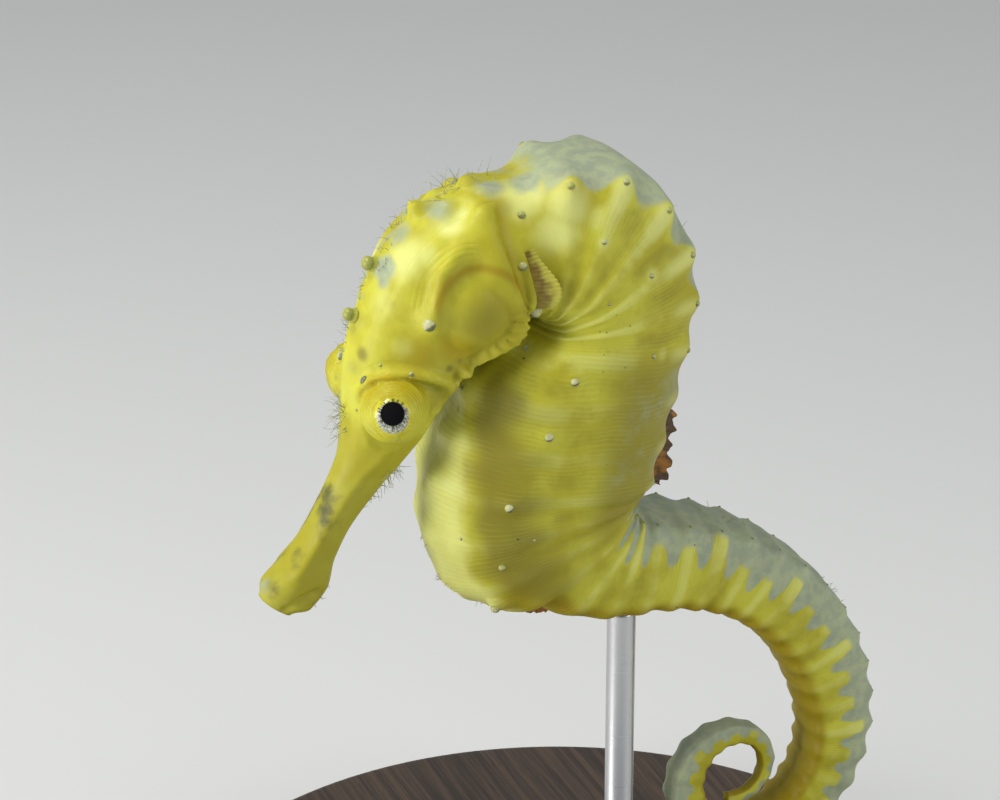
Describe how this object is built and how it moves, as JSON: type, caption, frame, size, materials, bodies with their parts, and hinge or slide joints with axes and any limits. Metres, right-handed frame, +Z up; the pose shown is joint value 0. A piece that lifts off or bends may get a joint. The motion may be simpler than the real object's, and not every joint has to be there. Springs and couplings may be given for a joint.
{
  "type": "seahorse display model",
  "caption": "Life-size still model of a yellow seahorse with bent neck, bony rings and curled tail, held over a round base by two short rods.",
  "frame": {"origin": "On the underside of the stand's base, at its middle, which is also the bottom centre of the whole model's box.", "axes": "+Z up. The seahorse faces -Y with its snout pointing down to the base's edge. Its left side is +X, and its middle line lies in the plane x = 0."},
  "size_m": [0.076, 0.076, 0.0839],
  "materials": {
    "skin": "painted, satin, slightly moist",
    "fin": "thin, translucent, satin",
    "eye": "glossy, wet",
    "stand_base": "dark stained and waxed",
    "stand_rod": "brushed"
  },
  "bodies": {
    "root": {"snout": "skin", "head": "skin", "gill_cover_left": "skin", "gill_cover_right": "skin", "coronet": "skin", "neck": "skin", "trunk_upper": "skin", "trunk_lower": "skin", "tail_root": "skin", "tail_upper": "skin", "tail_middle": "skin", "tail_lower": "skin", "tail_coil_1": "skin", "tail_coil_2": "skin", "tail_coil_3": "skin", "tail_coil_4": "skin", "tail_tip": "skin", "eye_left": "eye", "eye_right": "eye", "dorsal_fin": "fin", "anal_fin": "fin", "pectoral_fin_left": "fin", "pectoral_fin_right": "fin", "stand_base": "stand_base", "stand_rod_body": "stand_rod", "stand_rod_coil": "stand_rod"}
  },
  "joints": []
}
